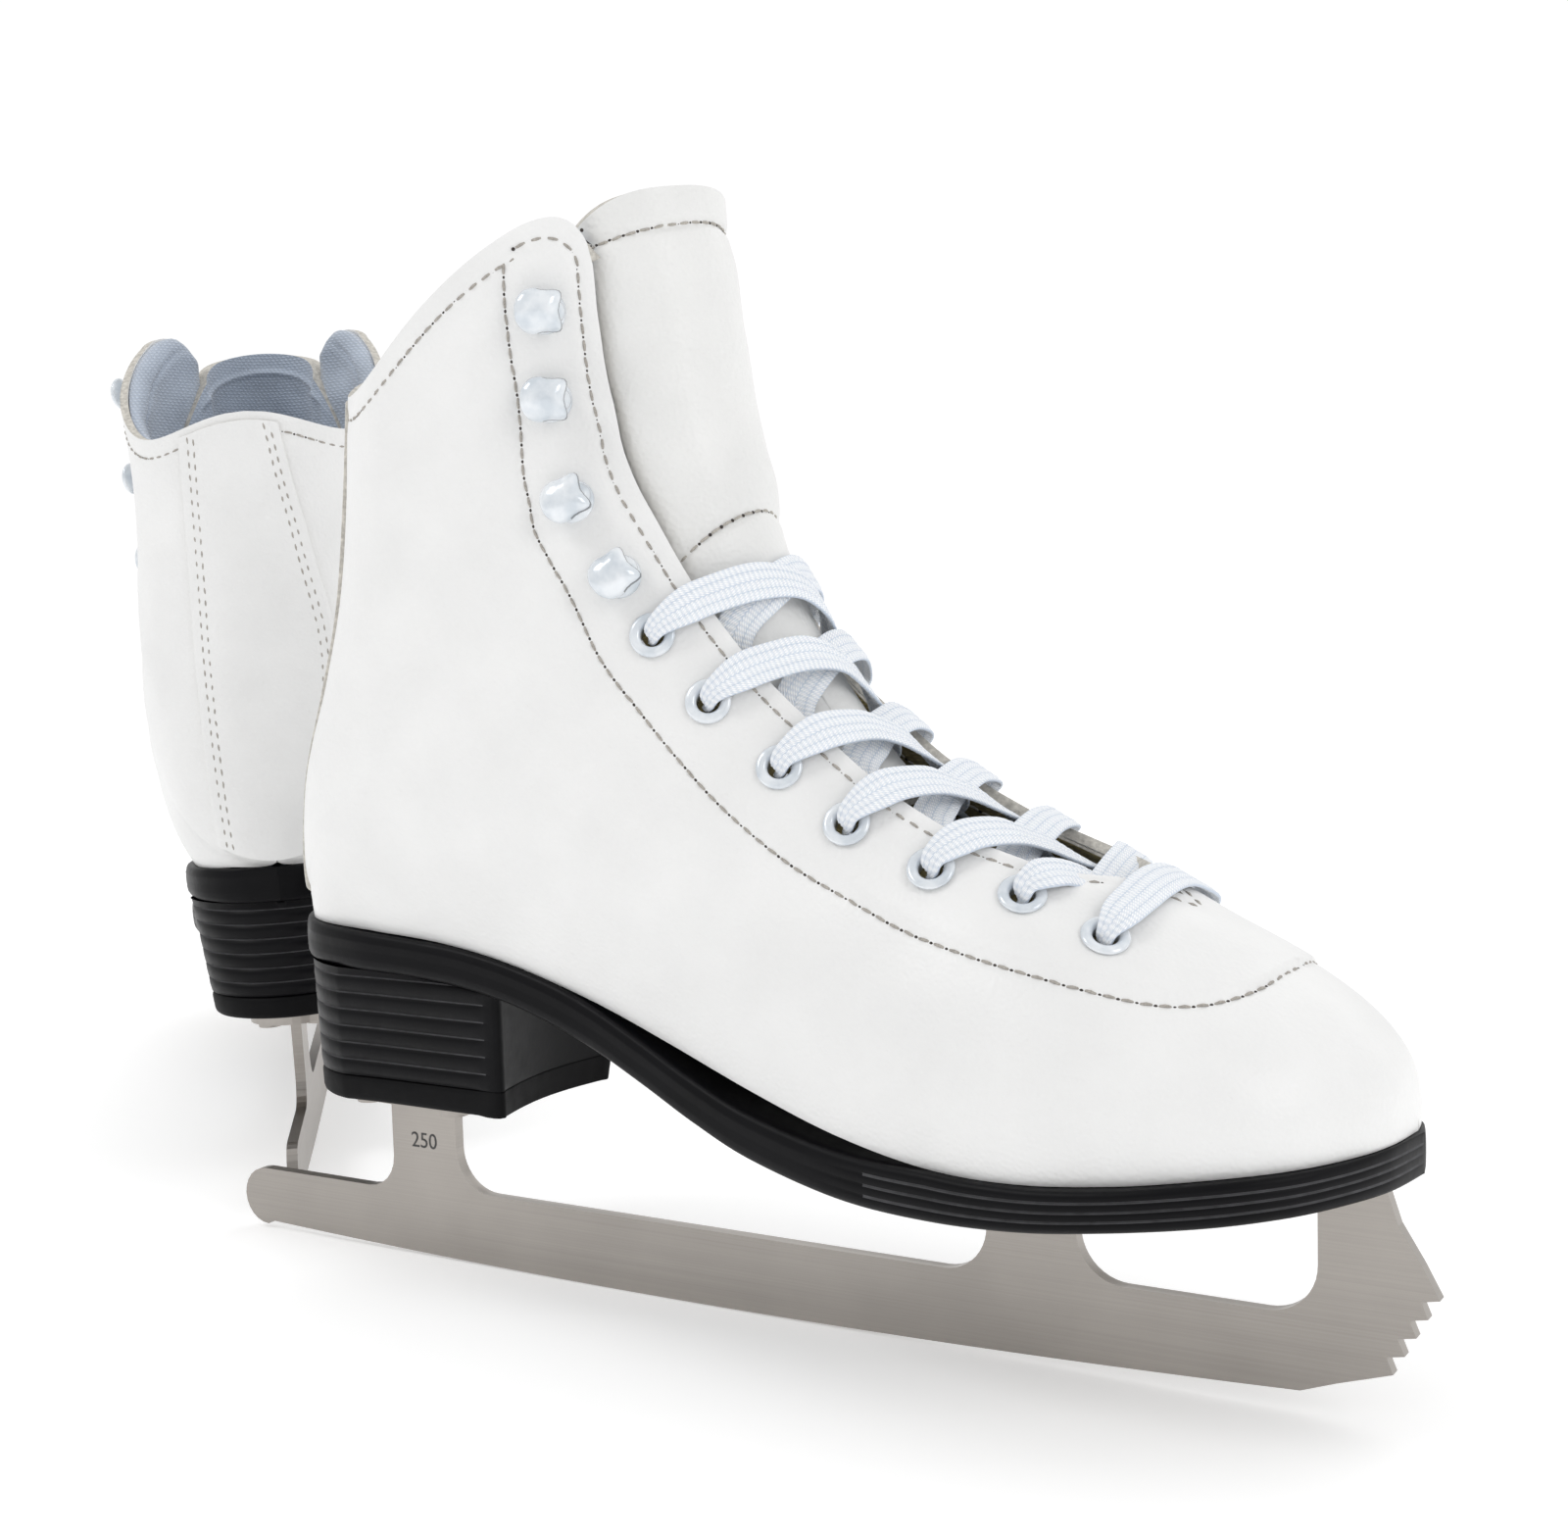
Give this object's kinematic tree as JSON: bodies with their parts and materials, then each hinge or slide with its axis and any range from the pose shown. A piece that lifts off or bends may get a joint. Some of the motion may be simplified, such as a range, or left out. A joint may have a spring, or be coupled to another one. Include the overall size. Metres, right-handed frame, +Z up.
{
  "type": "ice skates",
  "caption": "Pair of laced figure skates with padded tongues, stacked heels and steel runners with toe picks, standing heel to heel.",
  "frame": {"origin": "on the ice under the middle of the pair's bounding box", "axes": "+Z up, +X towards the toe of the right skate, +Y towards its inner side"},
  "size_m": [0.4943, 0.29, 0.2384],
  "materials": {
    "white_leather": "smooth white leather with a fine grain",
    "tongue_leather": "soft white leather, padded",
    "runner_steel": "brushed along its length",
    "plate_steel": "satin",
    "screw_steel": "plated",
    "sole_black": "black stacked sole, satin",
    "black_rubber": "matt",
    "board": "pressed fibre board",
    "footbed_fabric": "felt",
    "lining_fabric": "pale knitted lining",
    "canvas": "olive canvas",
    "foam": "open foam",
    "white_enamel": "pearl white enamel",
    "lace_cotton": "flat woven braid",
    "thread": "waxed thread",
    "mark_grey": "etched size number"
  },
  "bodies": {
    "right_skate": {"right_runner": "runner_steel", "right_heel_plate": "plate_steel", "right_sole_plate": "plate_steel", "right_heel_screws": "screw_steel", "right_sole_screws": "screw_steel", "right_top_lift": "black_rubber", "right_heel_block": "sole_black", "right_outsole": "sole_black", "right_insole_board": "board", "right_footbed": "footbed_fabric", "right_shank": "plate_steel", "right_vamp": "white_leather", "right_outer_quarter": "white_leather", "right_inner_quarter": "white_leather", "right_outer_facing": "white_leather", "right_inner_facing": "white_leather", "right_back_stay": "white_leather", "right_lining": "lining_fabric", "right_toe_box": "board", "right_heel_counter": "board", "right_ankle_foam": "foam", "right_tongue_lower": "tongue_leather", "right_outer_eyelets": "white_enamel", "right_inner_eyelets": "white_enamel", "right_outer_hooks": "white_enamel", "right_inner_hooks": "white_enamel", "right_lace": "lace_cotton"},
    "right_tongue": {"right_tongue_upper": "tongue_leather"},
    "left_skate": {"left_runner": "runner_steel", "left_heel_plate": "plate_steel", "left_sole_plate": "plate_steel", "left_heel_screws": "screw_steel", "left_sole_screws": "screw_steel", "left_top_lift": "black_rubber", "left_heel_block": "sole_black", "left_outsole": "sole_black", "left_insole_board": "board", "left_footbed": "footbed_fabric", "left_shank": "plate_steel", "left_vamp": "white_leather", "left_outer_quarter": "white_leather", "left_inner_quarter": "white_leather", "left_outer_facing": "white_leather", "left_inner_facing": "white_leather", "left_back_stay": "white_leather", "left_lining": "lining_fabric", "left_toe_box": "board", "left_heel_counter": "board", "left_ankle_foam": "foam", "left_tongue_lower": "tongue_leather", "left_outer_eyelets": "white_enamel", "left_inner_eyelets": "white_enamel", "left_outer_hooks": "white_enamel", "left_inner_hooks": "white_enamel", "left_lace": "lace_cotton"},
    "left_tongue": {"left_tongue_upper": "tongue_leather"}
  },
  "joints": [
    {"name": "right_tongue_fold", "type": "hinge", "parent": "right_skate", "child": "right_tongue", "pos_m": [0.0942, -0.0989, 0.158], "axis": [0, -1, 0], "range_deg": [0, 25], "stiffness_Nm_per_rad": 0.15},
    {"name": "left_skate_slide", "type": "slide", "parent": "right_skate", "child": "left_skate", "axis": [-0.8, 0.6, 0], "range_m": [0, 0.15]},
    {"name": "left_tongue_fold", "type": "hinge", "parent": "left_skate", "child": "left_tongue", "pos_m": [-0.13964, 0.02155, 0.15795], "axis": [0.7734, 0.633, 0.0349], "range_deg": [0, 25], "stiffness_Nm_per_rad": 0.15}
  ]
}
